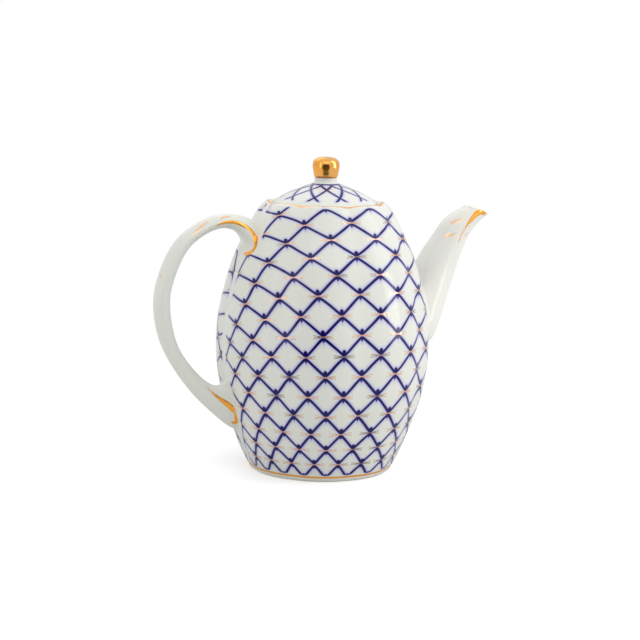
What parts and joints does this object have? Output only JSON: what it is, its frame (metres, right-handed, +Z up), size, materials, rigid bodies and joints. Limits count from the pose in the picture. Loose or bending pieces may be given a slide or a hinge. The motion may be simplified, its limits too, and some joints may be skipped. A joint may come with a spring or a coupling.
{
  "type": "porcelain teapot",
  "caption": "Tall lobed porcelain teapot with a luted spout, a loop handle, a seated lift-off lid with a gilded knob, and a painted diamond net.",
  "frame": {"origin": "centre of the foot, in the plane that the pot stands on", "axes": "+Z up the pot's axis, +X towards the spout, so the handle is on -X"},
  "size_m": [0.1998, 0.1176, 0.1746],
  "materials": {
    "porcelain": "clear gloss glaze over white porcelain",
    "gilding": "burnished gold lustre over glazed porcelain"
  },
  "bodies": {
    "pot": {"pot_body": "porcelain", "spout": "porcelain", "handle": "porcelain"},
    "lid": {"lid": "porcelain", "knob": "gilding"}
  },
  "joints": [
    {"name": "lid_lift", "type": "slide", "parent": "pot", "child": "lid", "axis": [0, 0, 1], "range_m": [0, 0.04]}
  ]
}
